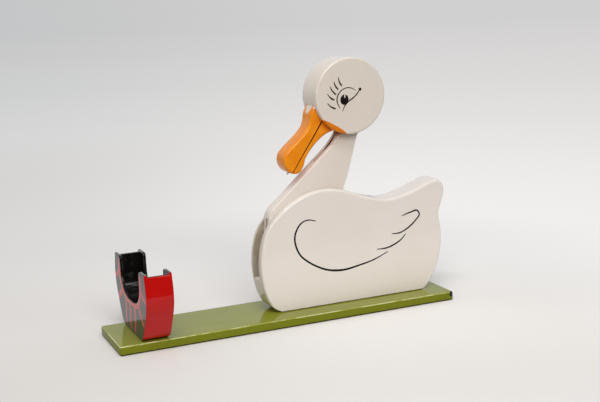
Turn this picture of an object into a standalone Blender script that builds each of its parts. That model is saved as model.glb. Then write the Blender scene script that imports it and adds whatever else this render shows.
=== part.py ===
"""Painted wooden duck dispenser: the neck and head swing forward on a hidden four-bar linkage,
so that the needle in the beak reaches into an open holder at the front end of the board.

Sizes are in millimetres. X runs along the board towards the tail, Y across it, Z up.
The duck's own outlines are (x, z) points measured from the neck pivot's foot on the board.
"""

import math

import bmesh
import bpy
from mathutils import Vector
from mathutils.geometry import convex_hull_2d

for old_object in list(bpy.data.objects):
    bpy.data.objects.remove(old_object, do_unlink=True)

MM = 0.001

# Fits
SEAT_GAP = 0.3  # between faces that touch on the real object
RUNNING_GAP = 0.6  # on each side of a piece that turns
PIN_GAP = 0.3  # around a pin in its hole

# Base board
BASE_LENGTH = 305.0
BASE_WIDTH = 63.0
BASE_THICKNESS = 8.0
BASE_ROUND_OVER = 1.6

# Layers of the duck, measured across it
SLOT_WIDTH = 13.0  # middle layer of the body and of the head
BODY_PLATE = 5.2
HEAD_CHEEK = 7.5
BEAK_THICKNESS = 18.5

# Body
TAIL_OVERHANG = 3.5
TAIL_REACH = 135.7  # neck pivot to the tip of the tail
BREAST_REACH = 43.8  # neck pivot to the front of the breast
SLOT_MOUTH_HEIGHT = 28.6  # floor of the slot at the breast
SLOT_TOP = 110.0  # above the back

# Neck
NECK_PIVOT_HEIGHT = 68.0
NECK_FOOT_RADIUS = 33.6
NECK_TONGUE_RADIUS = 8.0
NECK_PIN_RADIUS = 2.2
NECK_SWING = 101.9  # degrees, forward from rest
THROAT_DROP = 8.9  # front edge of the neck's tongue, below the head pivot

# Head
HEAD_CENTRE = (43.2, NECK_PIVOT_HEIGHT + 112.1)
HEAD_RADIUS = 32.5
HEAD_PIVOT = (53.2, NECK_PIVOT_HEIGHT + 93.4)
HEAD_PIN_RADIUS = 2.0
HEAD_SWING_RATIO = 0.759  # the head's turn on the neck for each degree of neck
NECK_TONGUE_ROOM = 13.2  # radius of the room in the head for the neck's tongue
NECK_AT_REST = (206.0, 290.0)  # directions from the head pivot that the neck fills

# Beak, set on the rim of the head
BEAK_DIRECTION = 215.0  # from the head's centre to the root of the beak
BEAK_SEAT = (190.0, 243.0)
TONGUE_SEAT = (193.0, 237.0)
TONGUE_DEPTH = 12.0

# Linkage
ROD_THICKNESS = 2.4
ROD_WIDTH = 3.8
ROD_SIDE_GAP = 0.4  # between the rod's flat faces and its groove
LINK_PIN_RADIUS = 1.5
BODY_CRANK = (10.7, 212.8)  # length and direction of the body link pin from the neck pivot
HEAD_CRANK = (14.0, 207.5)  # the same for the head link pin from the head pivot
LOWER_EYE_RADIUS = 3.6
UPPER_EYE_RADIUS = 4.4
UPPER_EYE_PLAY = 1.2  # the upper eye rides loosely on its pin
KERF_BELOW_PIVOT = 2.5  # saw kerf in the foot of the neck, open to the front
KERF_ABOVE_PIVOT = 12.5
KERF_END = 6.0
PIN_WAY_SPARE = 14.0  # degrees past each end of the body link pin's way in the neck

# Pins end blind in the side layers
PIN_SEAT_DEPTH = 3.6

# Needle
NEEDLE_RADIUS = 0.8
NEEDLE_SEAT = 12.0
NEEDLE_REACH = 2.6

# Holder
HOLDER_INSET = 19.1  # front end of the board to the holder
HOLDER_THICKNESS = 22.5
HOLDER_SIDE = 2.6
HOLDER_HEIGHT = 57.8
HOLDER_FOOT_HALF = 30.0
HOLDER_END_WALL = 3.0
HOLDER_FLOOR = 24.0
HOLDER_END_DROP = 1.8  # the end walls stop below the side plates
NOTCH_HALF = 28.6
NOTCH_BOTTOM = 26.8
NOTCH_BOWL = 21.5  # height of the rounded part
NOTCH_FULLNESS = 0.8  # 1 is an ellipse, less is squarer
NOTCH_MOUTH_RADIUS = 3.0
HOLDER_CORNER = 9.0  # inner corners between the floor and the end walls

# Wood screws
SCREW_LENGTH = 25.0
SCREW_RADIUS = 1.7
SCREW_HEAD_RADIUS = 3.6
SCREW_HEAD_SINK = 0.5
SCREW_RIM = 0.6
SCREW_TIP = 3.0
SCREW_SLOT_WIDTH = 1.0
SCREW_SLOT_DEPTH = 0.9
HOLDER_SCREW_SPREAD = 32.0
BODY_SCREWS = (20.0, 85.0)  # from the neck pivot

# Places worked out from the sizes above
DUCK_X = (BASE_LENGTH + TAIL_OVERHANG) / 2 - TAIL_REACH
BOARD_X = -TAIL_OVERHANG / 2
HOLDER_X = BOARD_X - BASE_LENGTH / 2 + HOLDER_INSET + HOLDER_THICKNESS / 2
DECK = BASE_THICKNESS
SLOT_HALF = SLOT_WIDTH / 2
NECK_HALF = SLOT_HALF - RUNNING_GAP / 2
BODY_HALF = SLOT_HALF + SEAT_GAP + BODY_PLATE
HEAD_HALF = SLOT_HALF + SEAT_GAP + HEAD_CHEEK
NECK_PIVOT = (0.0, NECK_PIVOT_HEIGHT)


# ---------------------------------------------------------------- outlines

def polar(centre, radius, degrees):
    angle = math.radians(degrees)
    return (centre[0] + radius * math.cos(angle), centre[1] + radius * math.sin(angle))


def arc(centre, radius, start, end, steps):
    return [polar(centre, radius, start + (end - start) * i / steps) for i in range(steps + 1)]


def smooth(points, steps=4):
    """Open Catmull-Rom curve through the points."""
    padded = [points[0]] + list(points) + [points[-1]]
    curve = []
    for a, b, c, d in zip(padded, padded[1:], padded[2:], padded[3:]):
        for i in range(steps):
            t = i / steps
            curve.append(tuple(
                0.5 * (2 * q + (r - p) * t + (2 * p - 5 * q + 4 * r - s) * t * t
                       + (3 * q - p - 3 * r + s) * t ** 3)
                for p, q, r, s in zip(a, b, c, d)))
    curve.append(tuple(points[-1]))
    return curve


def on_board(outline):
    """Duck outline to board coordinates."""
    return [(x + DUCK_X, z + DECK) for x, z in outline]


def from_pivot(outline):
    """Outline measured from the neck pivot to the duck's own frame."""
    return [(x, z + NECK_PIVOT_HEIGHT) for x, z in outline]


def body_outline():
    """Up the breast, over the back to the tail, and down the stern."""
    outline = smooth([
        (-25.3, 0.0), (-34.2, 4.7), (-40.2, 15.5), (-BREAST_REACH, 33.0), (-43.4, 52.0),
        (-37.7, 71.0), (-24.0, 86.0), (-6.0, 96.8), (14.0, 101.6), (34.0, 99.6),
        (56.0, 91.6), (77.5, 86.8), (98.0, 90.0), (119.0, 97.4), (129.5, 99.4),
        (TAIL_REACH - 0.9, 94.0), (TAIL_REACH, 86.5), (131.8, 74.0), (130.2, 65.5), (132.7, 50.0),
        (131.2, 32.0), (126.8, 17.9), (119.3, 5.9), (111.8, 0.0)], 3)
    return [(min(x, TAIL_REACH), z + SEAT_GAP) for x, z in outline]


def neck_front():
    """Front edge, from the breast up to the rim of the head."""
    return from_pivot(smooth([
        (-NECK_FOOT_RADIUS, 0.0), (-NECK_FOOT_RADIUS + 0.9, 8.0), (-30.6, 19.0), (-17.1, 30.8),
        (-5.0, 41.4), (10.7, 55.3), (27.7, 70.5), (36.3, 81.9)]))


def neck_back():
    """Rear edge, from the head down to the foot."""
    return from_pivot(smooth([
        (58.0, 86.8), (52.3, 76.4), (47.0, 58.7), (42.1, 42.6), (37.6, 30.8),
        (NECK_FOOT_RADIUS + 1.0, 16.0), (NECK_FOOT_RADIUS, 0.0)]))


def neck_outline():
    tongue = arc(HEAD_PIVOT, NECK_TONGUE_RADIUS, 180, -30, 16)
    throat = (HEAD_PIVOT[0] - NECK_TONGUE_RADIUS, HEAD_PIVOT[1] - THROAT_DROP)
    foot = arc(NECK_PIVOT, NECK_FOOT_RADIUS, 0, -180, 30)
    return neck_front() + [throat] + tongue + neck_back() + foot[1:-1]


def slot_outline():
    """Room in the body's middle layer for the neck at rest, for its swing and for its foot."""
    clear = NECK_FOOT_RADIUS + RUNNING_GAP
    foot = arc(NECK_PIVOT, clear, -88, 0, 18)
    rear_wall = [(x + RUNNING_GAP, z) for x, z in reversed(neck_back()) if z < SLOT_TOP]
    mouth = Vector((-BREAST_REACH, SLOT_MOUTH_HEIGHT))
    outside = mouth.lerp(Vector(foot[0]), -1.0)
    above = 2 * SLOT_TOP
    return ([tuple(outside)] + foot + rear_wall[1:]
            + [(rear_wall[-1][0] + RUNNING_GAP, above), (outside.x, above)])


def beak_outline():
    """Bridge of the beak down to the tip and back under it, closed along the rim of the head."""
    bridge = [(-6.5, 14.0), (-8.4, 6.6), (-10.0, -2.4), (-15.0, -10.2), (-31.0, -24.4)]
    tip = [(-34.4, -30.4), (-33.8, -36.9), (-30.0, -42.2), (-25.0, -44.2), (-20.0, -43.0)]
    under = [(-16.3, -37.4), (-14.0, -31.0), (-6.0, -21.0), (4.0, -13.2), (13.0, -10.0)]
    edge = [from_beak_root(point) for point in smooth(bridge + tip + under)]
    rim = arc(HEAD_CENTRE, HEAD_RADIUS + SEAT_GAP, BEAK_SEAT[1], BEAK_SEAT[0], 24)
    clear = HEAD_RADIUS + 2 * SEAT_GAP
    return [point for point in edge if math.dist(point, HEAD_CENTRE) > clear] + rim


def from_beak_root(point):
    root = polar(HEAD_CENTRE, HEAD_RADIUS, BEAK_DIRECTION)
    return (root[0] + point[0], root[1] + point[1])


def ring_sector(centre, inner, outer, start, end, steps):
    return arc(centre, outer, start, end, steps) + arc(centre, inner, end, start, steps)


def tongue_outline(clearance):
    """Tongue of the beak inside the head, or its mortise when a clearance is given."""
    spread = math.degrees(clearance / HEAD_RADIUS)
    inner = HEAD_RADIUS - TONGUE_DEPTH - clearance
    start, end = TONGUE_SEAT
    return ring_sector(HEAD_CENTRE, inner, HEAD_RADIUS + 2.0, start - spread, end + spread, 14)


def mouth_line():
    """Corner of the mouth and tip of the beak; the needle lies on this line."""
    return Vector(from_beak_root((1.5, -1.0))), Vector(from_beak_root((-27.7, -43.6)))


def link_pins(travel):
    """Centres of the lower and upper link pins as the neck sees them, part of the way forward."""
    turn = travel * NECK_SWING
    lower = polar(NECK_PIVOT, BODY_CRANK[0], BODY_CRANK[1] - turn)
    upper = polar(HEAD_PIVOT, HEAD_CRANK[0], HEAD_CRANK[1] - turn * HEAD_SWING_RATIO)
    return lower, upper


def groove_outline():
    """All that the rod and its eyes sweep inside the neck."""
    points = []
    for i in range(9):
        lower, upper = link_pins(i / 8)
        points += arc(lower, LOWER_EYE_RADIUS + RUNNING_GAP, 0, 345, 23)
        points += arc(upper, UPPER_EYE_RADIUS + RUNNING_GAP, 0, 345, 23)
    return [points[i] for i in convex_hull_2d([Vector(p) for p in points])]


def rod_outline():
    """Flat link with a round eye at each end."""
    lower, upper = (Vector(pin) for pin in link_pins(0))
    heading = math.degrees(math.atan2(upper.y - lower.y, upper.x - lower.x))
    lower_half = math.degrees(math.asin(ROD_WIDTH / 2 / LOWER_EYE_RADIUS))
    upper_half = math.degrees(math.asin(ROD_WIDTH / 2 / UPPER_EYE_RADIUS))
    return (arc(lower, LOWER_EYE_RADIUS, heading + lower_half, heading + 360 - lower_half, 24)
            + arc(upper, UPPER_EYE_RADIUS, heading - 180 + upper_half,
                  heading + 180 - upper_half, 24))


def holder_flank():
    """Outer edge of the holder from its foot to its top, as (y, z) from the deck."""
    return smooth([
        (HOLDER_FOOT_HALF, SEAT_GAP), (40.6, 18.6), (47.6, 33.0), (47.4, 46.0),
        (44.6, HOLDER_HEIGHT)], 6)


def notch_edge():
    """Right half of the notch from its bottom to its rounded mouth."""
    edge = []
    for i in range(13):
        angle = math.radians(90 * i / 12)
        edge.append((NOTCH_HALF * math.sin(angle) ** NOTCH_FULLNESS,
                     NOTCH_BOTTOM + NOTCH_BOWL * (1 - math.cos(angle) ** NOTCH_FULLNESS)))
    lip = (NOTCH_HALF + NOTCH_MOUTH_RADIUS, HOLDER_HEIGHT - NOTCH_MOUTH_RADIUS)
    return edge + arc(lip, NOTCH_MOUTH_RADIUS, 180, 90, 5)


def mirrored(right_half):
    return right_half + [(-y, z) for y, z in reversed(right_half)]


# ---------------------------------------------------------------- meshes

def paint(name, colour, roughness, metallic=0.0, coat=0.0):
    material = bpy.data.materials.new(name)
    material.use_nodes = True
    shader = material.node_tree.nodes["Principled BSDF"]
    shader.inputs["Base Color"].default_value = (*colour, 1.0)
    shader.inputs["Roughness"].default_value = roughness
    shader.inputs["Metallic"].default_value = metallic
    shader.inputs["Coat Weight"].default_value = coat
    material.diffuse_color = (*colour, 1.0)
    return material


def place(point, along, side):
    """A flat outline's point, set at a distance along the axis that it is drawn across."""
    if side == "X":
        return Vector((along, point[0], point[1]))
    if side == "Y":
        return Vector((point[0], along, point[1]))
    return Vector((point[0], point[1], along))


def make_object(name, mesh_builder, origin, material):
    """Object whose mesh is built in board coordinates and kept relative to the origin."""
    mesh = bpy.data.meshes.new(name)
    build = bmesh.new()
    mesh_builder(build)
    bmesh.ops.recalc_face_normals(build, faces=build.faces)
    bmesh.ops.translate(build, verts=build.verts, vec=-Vector(origin))
    bmesh.ops.scale(build, verts=build.verts, vec=(MM, MM, MM))
    build.to_mesh(mesh)
    build.free()
    made = bpy.data.objects.new(name, mesh)
    made.location = Vector(origin) * MM
    bpy.context.collection.objects.link(made)
    if material is not None:
        mesh.materials.append(material)
    return made


def prism(name, outline, low, high, side, material=None, origin=(0, 0, 0)):
    def build_prism(build):
        ends = [[build.verts.new(place(p, along, side)) for p in outline] for along in (low, high)]
        build.faces.new(ends[0])
        build.faces.new(ends[1])
        count = len(outline)
        for i in range(count):
            j = (i + 1) % count
            build.faces.new((ends[0][i], ends[0][j], ends[1][j], ends[1][i]))
    return make_object(name, build_prism, origin, material)


def turned(name, profile, foot, axis, material=None, origin=(0, 0, 0), segments=24):
    """Solid of revolution: profile of (distance along the axis, radius), closed at both ends."""
    direction = Vector(axis).normalized()
    across = direction.orthogonal().normalized()
    upward = direction.cross(across)
    foot = Vector(foot)

    def build_turned(build):
        rings = []
        for along, radius in profile:
            middle = foot + direction * along
            if radius == 0:
                rings.append([build.verts.new(middle)])
                continue
            ring = []
            for i in range(segments):
                angle = 2 * math.pi * i / segments
                spoke = across * math.cos(angle) + upward * math.sin(angle)
                ring.append(build.verts.new(middle + spoke * radius))
            rings.append(ring)
        for ring, following in zip(rings, rings[1:]):
            for i in range(segments):
                j = (i + 1) % segments
                corners = [ring[i % len(ring)], ring[j % len(ring)],
                           following[j % len(following)], following[i % len(following)]]
                build.faces.new(list(dict.fromkeys(corners)))
        for ring in (rings[0], rings[-1]):
            if len(ring) > 1:
                build.faces.new(ring)
    return make_object(name, build_turned, origin, material)


def combine(target, other, operation="DIFFERENCE"):
    """Boolean that stays on its object; the other shape is only a guide."""
    other.hide_render = True
    other.display_type = "WIRE"
    step = target.modifiers.new(other.name, "BOOLEAN")
    step.operation = operation
    step.solver = "EXACT"
    step.object = other


def shade_round(made):
    made.data.shade_smooth()
    made.data.set_sharp_from_angle(angle=math.radians(35))


def cross_pin(name, centre, radius, half_length, material, origin, segments=24):
    """Pin across the duck."""
    x, z = on_board([centre])[0]
    profile = [(0, radius), (2 * half_length, radius)]
    pin = turned(name, profile, (x, -half_length, z), (0, 1, 0), material, origin, segments)
    shade_round(pin)
    return pin


def axle(name, centre):
    """Empty on a joint's axis, which carries the pieces that turn about it."""
    x, z = on_board([centre])[0]
    empty = bpy.data.objects.new(name, None)
    empty.location = Vector((x, 0, z)) * MM
    bpy.context.collection.objects.link(empty)
    return empty


def carry(empty, pieces):
    for piece in pieces:
        piece.parent = empty
        piece.location = (0, 0, 0)


# ---------------------------------------------------------------- materials

white_body = paint("white enamel, body", (0.72, 0.66, 0.56), 0.32, coat=0.5)
white_neck = paint("white enamel, neck", (0.70, 0.64, 0.54), 0.32, coat=0.5)
white_head = paint("white enamel, head", (0.70, 0.62, 0.53), 0.32, coat=0.5)
green = paint("green enamel", (0.19, 0.24, 0.04), 0.25, coat=0.6)
red = paint("red enamel", (0.52, 0.012, 0.010), 0.22, coat=0.7)
black_red = paint("black and red enamel", (0.02, 0.016, 0.014), 0.2, coat=0.7)
orange = paint("orange enamel", (0.72, 0.22, 0.02), 0.3, coat=0.5)
steel = paint("steel", (0.42, 0.41, 0.39), 0.35, metallic=1.0)
brass = paint("brass plated steel", (0.55, 0.43, 0.20), 0.35, metallic=1.0)


# ---------------------------------------------------------------- screws and their holes

def screw_profile(grow):
    """Countersunk screw from the underside upwards, or its hole when grown."""
    head_height = SCREW_HEAD_RADIUS - SCREW_RADIUS
    start = SCREW_HEAD_SINK if grow == 0 else -1.0
    rim = SCREW_HEAD_RADIUS + grow
    shank = SCREW_RADIUS + grow
    tip = SCREW_LENGTH + grow
    taper = SCREW_HEAD_SINK + SCREW_RIM + grow / 2
    return [(start, rim), (taper, rim), (taper + head_height, shank),
            (tip - SCREW_TIP, shank), (tip, 0)]


def wood_screw(name, x, y, held):
    foot = (x, y, 0)
    screw = turned(name, screw_profile(0), foot, (0, 0, 1), brass, foot, 20)
    reach, half = SCREW_HEAD_RADIUS + 1, SCREW_SLOT_WIDTH / 2
    slot = [(x - reach, y - half), (x + reach, y - half), (x + reach, y + half),
            (x - reach, y + half)]
    combine(screw, prism(name + "_slot", slot, -1, SCREW_HEAD_SINK + SCREW_SLOT_DEPTH, "Z"))
    shade_round(screw)
    hole = turned(name + "_hole", screw_profile(SEAT_GAP), foot, (0, 0, 1), segments=20)
    for piece in held:
        combine(piece, hole)


# ---------------------------------------------------------------- base board

def make_base():
    half_length, half_width = BASE_LENGTH / 2, BASE_WIDTH / 2
    corners = [(BOARD_X - half_length, -half_width), (BOARD_X + half_length, -half_width),
               (BOARD_X + half_length, half_width), (BOARD_X - half_length, half_width)]

    def build_board(build):
        bottom = [build.verts.new((x, y, 0)) for x, y in corners]
        face = build.faces.new(bottom)
        top = bmesh.ops.extrude_face_region(build, geom=[face])["geom"]
        raised = [item for item in top if isinstance(item, bmesh.types.BMVert)]
        bmesh.ops.translate(build, verts=raised, vec=(0, 0, BASE_THICKNESS))
        upper = [e for e in build.edges if all(v.co.z > BASE_THICKNESS / 2 for v in e.verts)]
        upright = [e for e in build.edges if abs(e.verts[0].co.z - e.verts[1].co.z) > 1]
        bmesh.ops.bevel(build, geom=upper + upright, offset=BASE_ROUND_OVER, segments=3,
                        affect="EDGES", profile=0.5)
    board = make_object("base_board", build_board, (0, 0, 0), green)
    shade_round(board)
    return board


# ---------------------------------------------------------------- holder

def make_holder():
    low = HOLDER_X - HOLDER_THICKNESS / 2
    high = HOLDER_X + HOLDER_THICKNESS / 2
    flank = holder_flank()
    side = [(y, DECK + z) for y, z in mirrored(flank + list(reversed(notch_edge())))]
    front = prism("holder_front_side", side, low, low + HOLDER_SIDE, "X", black_red)
    rear = prism("holder_rear_side", side, high - HOLDER_SIDE, high, "X", black_red)

    wall_top = HOLDER_HEIGHT - HOLDER_END_DROP
    outer = [p for p in flank if p[1] < wall_top]
    lean = (flank[-1][0] - outer[-1][0]) / (flank[-1][1] - outer[-1][1])
    outer.append((outer[-1][0] + lean * (wall_top - outer[-1][1]), wall_top))
    inner_top = outer[-1][0] - HOLDER_END_WALL
    corner = HOLDER_FLOOR + HOLDER_CORNER
    inner = [(inner_top, wall_top)]
    inner += [(y - HOLDER_END_WALL, z) for y, z in reversed(outer[:-1]) if z > corner]
    inner += arc((inner[-1][0] - HOLDER_CORNER, corner), HOLDER_CORNER, 0, -90, 8)[1:]
    ring = [(y, DECK + z) for y, z in mirrored(outer + inner)]
    gap = HOLDER_SIDE + SEAT_GAP
    trough = prism("holder_trough", ring, low + gap, high - gap, "X", red)
    for piece in (front, rear, trough):
        shade_round(piece)
    return trough


# ---------------------------------------------------------------- body

def pin_seat(name, centre, radius, piece):
    """Blind hole for a pin, bored from the duck's middle."""
    seat = cross_pin(name, centre, radius + PIN_GAP, SLOT_HALF + SEAT_GAP + PIN_SEAT_DEPTH
                     + PIN_GAP, None, (0, 0, 0))
    combine(piece, seat)


def make_body():
    outline = on_board(body_outline())
    core = prism("body_core", outline, -SLOT_HALF, SLOT_HALF, "Y", white_body)
    slot = on_board(slot_outline())
    combine(core, prism("body_slot", slot, -SLOT_WIDTH, SLOT_WIDTH, "Y"))
    inner, outer = SLOT_HALF + SEAT_GAP, BODY_HALF
    near = prism("body_near_plate", outline, -outer, -inner, "Y", white_body)
    far = prism("body_far_plate", outline, inner, outer, "Y", white_body)
    for plate in (near, far):
        pin_seat(plate.name + "_pivot_seat", NECK_PIVOT, NECK_PIN_RADIUS, plate)
        pin_seat(plate.name + "_link_seat", link_pins(0)[0], LINK_PIN_RADIUS, plate)
    for piece in (core, near, far):
        shade_round(piece)
    half = SLOT_HALF + SEAT_GAP + PIN_SEAT_DEPTH
    cross_pin("neck_pivot_pin", NECK_PIVOT, NECK_PIN_RADIUS, half, steel, (0, 0, 0))
    cross_pin("link_pin_body", link_pins(0)[0], LINK_PIN_RADIUS, half, steel, (0, 0, 0))
    return core


# ---------------------------------------------------------------- neck

def make_neck():
    empty = axle("neck_axis", NECK_PIVOT)
    origin = empty.location / MM
    outline = on_board(neck_outline())
    near = prism("neck_near_half", outline, -NECK_HALF, -SEAT_GAP / 2, "Y", white_neck, origin)
    far = prism("neck_far_half", outline, SEAT_GAP / 2, NECK_HALF, "Y", white_neck, origin)
    depth = ROD_THICKNESS / 2 + ROD_SIDE_GAP
    reach = NECK_HALF * 2
    groove = prism("rod_groove", on_board(groove_outline()), -depth, depth, "Y")
    mouth = -NECK_FOOT_RADIUS - 5
    kerf = from_pivot([(mouth, -KERF_BELOW_PIVOT), (-KERF_END, -KERF_BELOW_PIVOT),
                       (-KERF_END, KERF_ABOVE_PIVOT), (mouth, KERF_ABOVE_PIVOT)])
    loading_kerf = prism("loading_kerf", on_board(kerf), -depth, depth, "Y")
    pin_clear = LINK_PIN_RADIUS + RUNNING_GAP
    swing = ring_sector(NECK_PIVOT, BODY_CRANK[0] - pin_clear, BODY_CRANK[0] + pin_clear,
                        BODY_CRANK[1] + PIN_WAY_SPARE,
                        BODY_CRANK[1] - NECK_SWING - PIN_WAY_SPARE, 24)
    pin_way = prism("link_pin_way", on_board(swing), -reach, reach, "Y")
    bores = [cross_pin("neck_pivot_bore", NECK_PIVOT, NECK_PIN_RADIUS + PIN_GAP, reach, None,
                       (0, 0, 0)),
             cross_pin("head_pivot_bore", HEAD_PIVOT, HEAD_PIN_RADIUS + PIN_GAP, reach, None,
                       (0, 0, 0))]
    for half in (near, far):
        for cutter in [groove, loading_kerf, pin_way] + bores:
            combine(half, cutter)
        shade_round(half)
    carry(empty, (near, far))


def make_rod():
    lower, upper = link_pins(0)
    empty = axle("rod_axis", lower)
    origin = empty.location / MM
    half = ROD_THICKNESS / 2
    rod = prism("link_rod", on_board(rod_outline()), -half, half, "Y", steel, origin)
    combine(rod, cross_pin("rod_lower_hole", lower, LINK_PIN_RADIUS + PIN_GAP, ROD_WIDTH, None,
                           (0, 0, 0)))
    combine(rod, cross_pin("rod_upper_hole", upper, LINK_PIN_RADIUS + UPPER_EYE_PLAY, ROD_WIDTH,
                           None, (0, 0, 0)))
    shade_round(rod)
    carry(empty, (rod,))


# ---------------------------------------------------------------- head and beak

def make_head():
    empty = axle("head_axis", HEAD_PIVOT)
    origin = empty.location / MM
    disc = on_board(arc(HEAD_CENTRE, HEAD_RADIUS, 0, 360, 96)[:-1])
    inner = SLOT_HALF + SEAT_GAP
    near = prism("head_near_cheek", disc, -HEAD_HALF, -inner, "Y", white_head, origin)
    far = prism("head_far_cheek", disc, inner, HEAD_HALF, "Y", white_head, origin)
    core = prism("head_core", disc, -SLOT_HALF, SLOT_HALF, "Y", white_head, origin)
    upper_pin = link_pins(0)[1]
    for cheek in (near, far):
        pin_seat(cheek.name + "_pivot_seat", HEAD_PIVOT, HEAD_PIN_RADIUS, cheek)
        pin_seat(cheek.name + "_link_seat", upper_pin, LINK_PIN_RADIUS, cheek)

    sweep_end = NECK_AT_REST[1] + NECK_SWING * HEAD_SWING_RATIO
    room = ring_sector(HEAD_PIVOT, 0.5, 2.5 * HEAD_RADIUS, NECK_AT_REST[0], sweep_end, 24)
    combine(core, prism("neck_sweep", on_board(room), -SLOT_WIDTH, SLOT_WIDTH, "Y"))
    tongue_room = arc(HEAD_PIVOT, NECK_TONGUE_ROOM, 0, 345, 23)
    combine(core, prism("neck_tongue_room", on_board(tongue_room), -SLOT_WIDTH,
                        SLOT_WIDTH, "Y"))
    eye_room = arc(upper_pin, UPPER_EYE_RADIUS + UPPER_EYE_PLAY + RUNNING_GAP, 0, 345, 23)
    combine(core, prism("rod_eye_room", on_board(eye_room), -SLOT_WIDTH, SLOT_WIDTH, "Y"))
    mortise = prism("beak_mortise", on_board(tongue_outline(SEAT_GAP)), -SLOT_WIDTH,
                    SLOT_WIDTH, "Y")
    combine(core, mortise)

    beak = make_beak(origin)
    half = SLOT_HALF + SEAT_GAP + PIN_SEAT_DEPTH
    pins = [cross_pin("head_pivot_pin", HEAD_PIVOT, HEAD_PIN_RADIUS, half, steel, origin),
            cross_pin("link_pin_head", upper_pin, LINK_PIN_RADIUS, half, steel, origin)]
    for piece in (near, far, core):
        shade_round(piece)
    carry(empty, [near, far, core] + beak + pins)


def make_beak(origin):
    half = BEAK_THICKNESS / 2
    beak = prism("beak", on_board(beak_outline()), -half, half, "Y", orange, origin)
    tongue = prism("beak_tongue", on_board(tongue_outline(0)), -NECK_HALF, NECK_HALF, "Y")
    combine(beak, tongue, "UNION")
    corner, tip = mouth_line()
    x, z = on_board([tip])[0]
    heading = (tip - corner).normalized()
    inward = Vector((-heading.x, 0, -heading.y))
    mouth_end = Vector((x, 0, z))
    seat = turned("needle_seat", [(-8, NEEDLE_RADIUS + PIN_GAP),
                                  (NEEDLE_SEAT + PIN_GAP, NEEDLE_RADIUS + PIN_GAP)],
                  mouth_end, inward, segments=16)
    combine(beak, seat)
    shade_round(beak)
    profile = [(-NEEDLE_REACH, 0), (-NEEDLE_REACH + 2.0, NEEDLE_RADIUS),
               (NEEDLE_SEAT, NEEDLE_RADIUS)]
    needle = turned("beak_needle", profile, mouth_end, inward, steel, origin, 16)
    shade_round(needle)
    return [beak, needle]


board = make_base()
trough = make_holder()
body_core = make_body()
make_neck()
make_rod()
make_head()
for label, y in (("near", -HOLDER_SCREW_SPREAD / 2), ("far", HOLDER_SCREW_SPREAD / 2)):
    wood_screw("holder_screw_" + label, HOLDER_X, y, (board, trough))
for label, x in zip(("front", "rear"), BODY_SCREWS):
    wood_screw("body_screw_" + label, DUCK_X + x, 0, (board, body_core))
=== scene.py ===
import math

import bmesh
import bpy
from mathutils import Euler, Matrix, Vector


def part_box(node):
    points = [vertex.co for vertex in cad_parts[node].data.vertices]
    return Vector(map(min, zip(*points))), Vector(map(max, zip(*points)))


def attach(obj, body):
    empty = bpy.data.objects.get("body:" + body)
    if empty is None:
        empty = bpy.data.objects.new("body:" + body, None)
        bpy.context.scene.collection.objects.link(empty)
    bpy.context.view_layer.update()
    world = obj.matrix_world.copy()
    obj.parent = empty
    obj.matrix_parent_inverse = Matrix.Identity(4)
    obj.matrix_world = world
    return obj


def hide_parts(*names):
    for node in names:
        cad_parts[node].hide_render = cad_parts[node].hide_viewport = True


MM = 0.001

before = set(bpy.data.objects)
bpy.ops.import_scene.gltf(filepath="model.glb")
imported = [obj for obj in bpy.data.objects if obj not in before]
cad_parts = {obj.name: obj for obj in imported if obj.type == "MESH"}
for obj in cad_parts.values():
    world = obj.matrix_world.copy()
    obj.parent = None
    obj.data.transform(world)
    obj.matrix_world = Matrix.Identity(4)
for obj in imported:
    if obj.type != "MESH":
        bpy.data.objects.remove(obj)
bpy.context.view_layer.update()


# ---------------------------------------------------------------- outlines, in millimetres

X, Y, Z = 0, 1, 2
LOW, HIGH = 0, 1
SAME_LEVEL = 0.02  # a corner this close to a level lies in it
SAME_PLACE = 0.05  # a point this close to an outline lies on it
SPAN_PIECES = 2  # pieces that a faceted span is rounded off into
QUARTER, CIRCLE = 7, 24  # points of an arc


def limit(node, end, axis):
    """Low or high side of a CAD node's box along an axis."""
    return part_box(node)[end][axis] / MM


def middle(node):
    """Centre of a CAD node's box."""
    low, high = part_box(node)
    return (low + high) / 2 / MM


def side_middle(node):
    """Centre of a CAD node's box as seen from the side: (x, z)."""
    return middle(node).x, middle(node).z


def arc(centre, radius, start, count, step=15.0):
    """Points round a centre, a step of degrees apart."""
    angles = [math.radians(start + step * i) for i in range(count)]
    return [(centre[0] + radius * math.cos(a), centre[1] + radius * math.sin(a)) for a in angles]


def spans(loop):
    """Neighbours round a closed loop."""
    return zip(loop, loop[1:] + loop[:1])


def signed_area(loop):
    return sum(a[0] * b[1] - b[0] * a[1] for a, b in spans(loop)) / 2


def flat_outline(node, axis):
    """Anticlockwise outline of the low flat face of a CAD node, across X or Y."""
    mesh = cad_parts[node].data
    mesh.calc_loop_triangles()
    level = limit(node, LOW, axis)
    edges = set()
    for triangle in mesh.loop_triangles:
        corners = [mesh.vertices[i].co / MM for i in triangle.vertices]
        if any(abs(c[axis] - level) > SAME_LEVEL for c in corners):
            continue
        for a, b in spans([(round(c[1 - axis], 3), round(c.z, 3)) for c in corners]):
            if (b, a) in edges:
                edges.discard((b, a))
            else:
                edges.add((a, b))
    following = dict(edges)
    loops = []
    while following:
        first = min(following)
        loop = [first]
        point = following.pop(first)
        while point != first:
            loop.append(point)
            point = following.pop(point)
        loops.append(loop if signed_area(loop) > 0 else loop[::-1])
    return max(loops, key=signed_area)


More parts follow.
